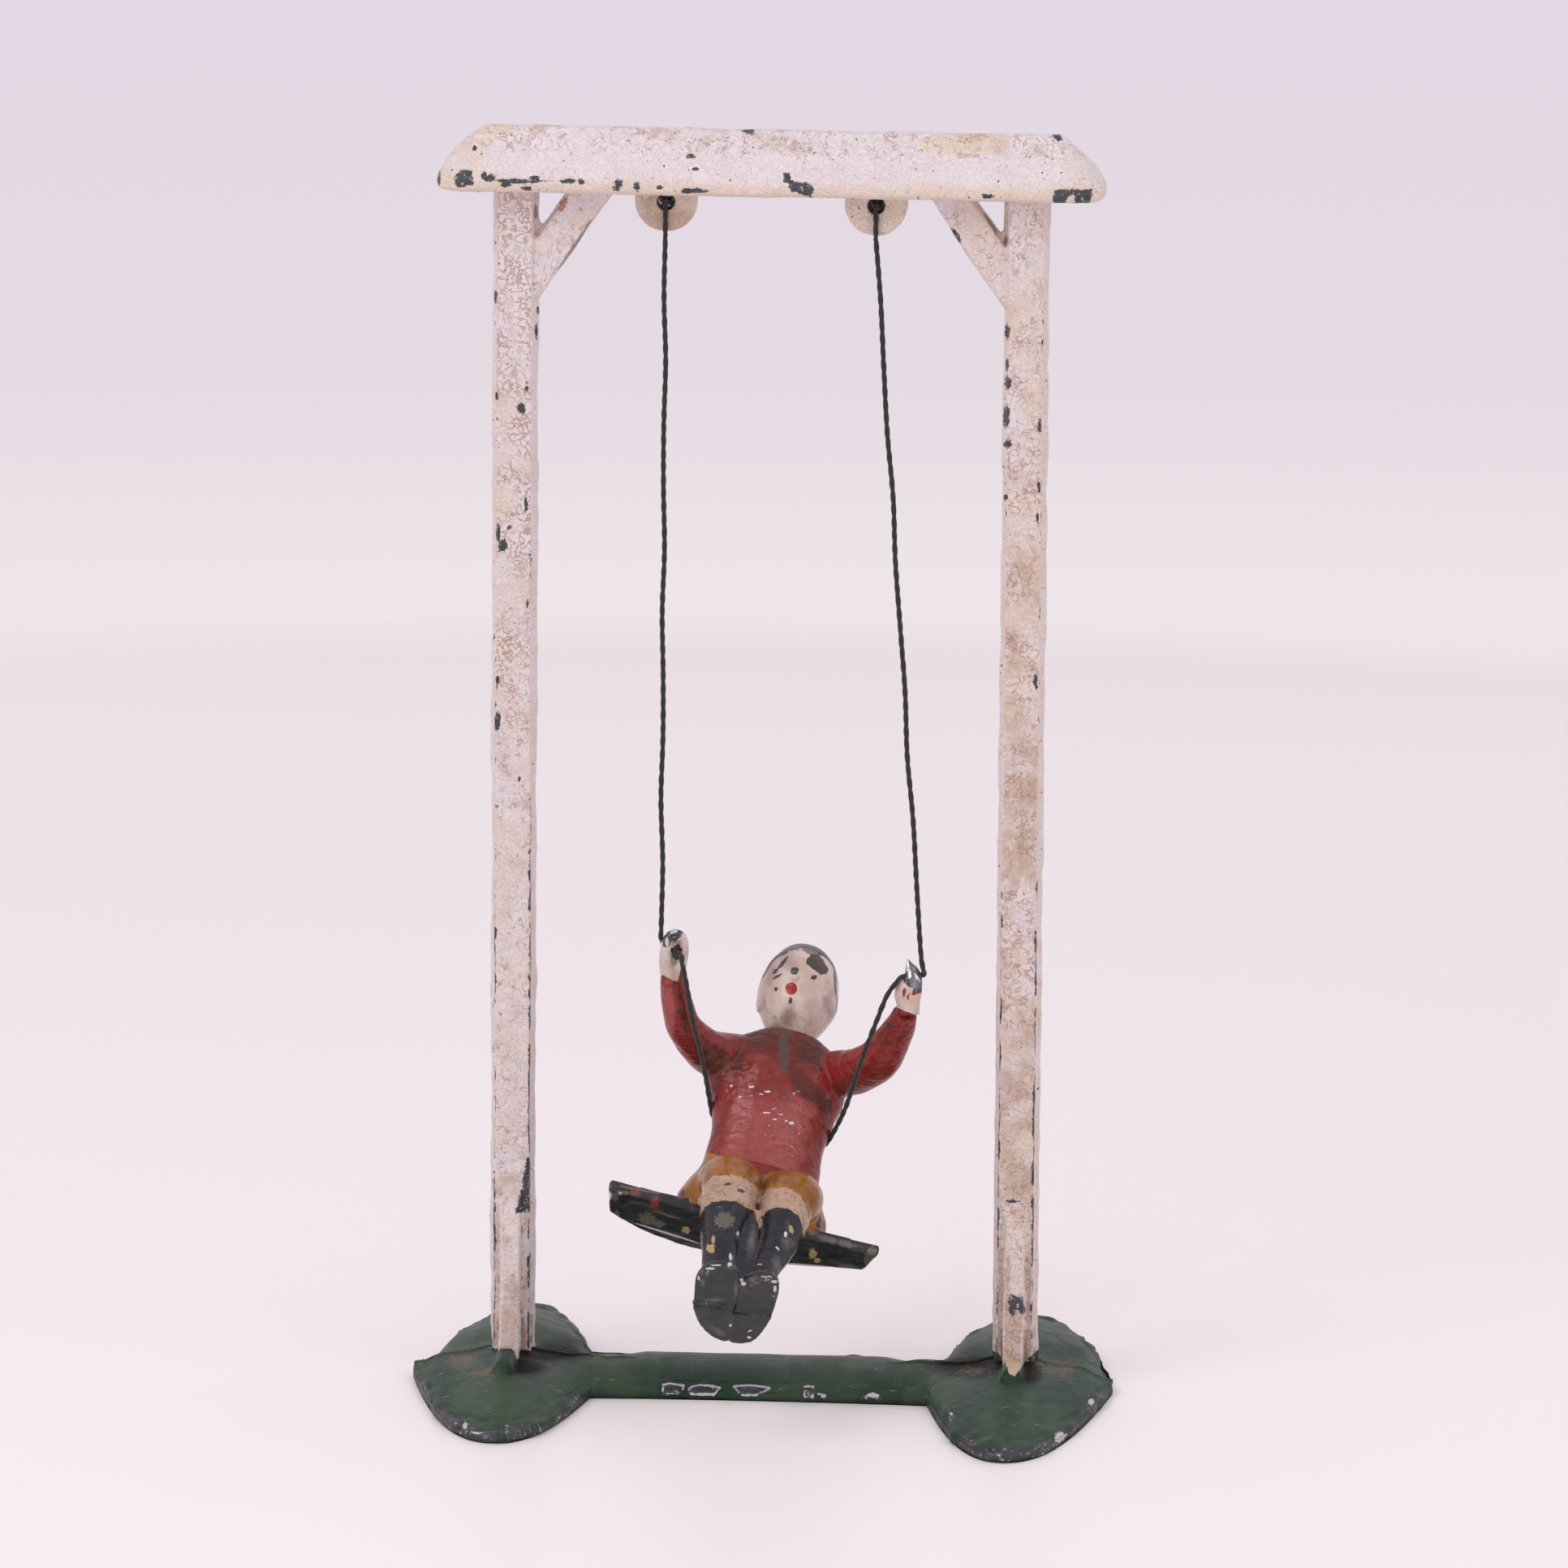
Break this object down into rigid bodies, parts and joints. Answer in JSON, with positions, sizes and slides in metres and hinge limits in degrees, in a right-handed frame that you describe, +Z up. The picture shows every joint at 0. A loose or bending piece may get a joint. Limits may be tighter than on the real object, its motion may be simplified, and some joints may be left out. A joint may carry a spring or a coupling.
{
  "type": "toy figure on a swing",
  "caption": "Cast-metal toy of a child on a swing, hung by two threads from a roofed frame on a footed base.",
  "frame": {"origin": "middle of the base's underside, between the two posts", "axes": "+Z up, +X towards the right-hand post as seen from the front, -Y towards the viewer, the way the figure faces"},
  "size_m": [0.061, 0.0462, 0.1111],
  "materials": {
    "green_paint": "dark green enamel, dusty and chipped to bare metal on its edges",
    "cream_paint": "cream enamel, finely crazed, chipped to dark metal",
    "black_paint": "glossy black enamel with chips that show older coats",
    "red_paint": "dark red enamel, scratched to bright metal across the chest",
    "ochre_paint": "ochre enamel, worn",
    "flesh_paint": "flesh enamel, worn through at the hands and on the brow",
    "thread": "twisted black sewing thread with loose fibres"
  },
  "bodies": {
    "frame": {"base_plate": "green_paint", "left_post": "cream_paint", "right_post": "cream_paint", "left_brace": "cream_paint", "right_brace": "cream_paint", "roof": "cream_paint", "left_lug": "cream_paint", "right_lug": "cream_paint", "left_hitch": "thread", "right_hitch": "thread"},
    "threads": {"left_thread": "thread", "right_thread": "thread"},
    "figure": {"seat_board": "black_paint", "shorts": "ochre_paint", "jacket": "red_paint", "head": "flesh_paint", "hair": "black_paint", "left_arm": "red_paint", "right_arm": "red_paint", "left_hand": "flesh_paint", "right_hand": "flesh_paint", "left_leg": "black_paint", "right_leg": "black_paint", "left_boot": "black_paint", "right_boot": "black_paint", "left_tail": "thread", "right_tail": "thread", "back_knot": "thread"}
  },
  "joints": [
    {"name": "swing", "type": "hinge", "parent": "frame", "child": "threads", "pos_m": [0, -0.00134, 0.10205], "axis": [1, 0, 0], "range_deg": [-70, 70]},
    {"name": "rock", "type": "hinge", "parent": "threads", "child": "figure", "pos_m": [0.0024, -0.00134, 0.03815], "axis": [0.9966, -0.0013, -0.0829], "range_deg": [-45, 45]}
  ]
}
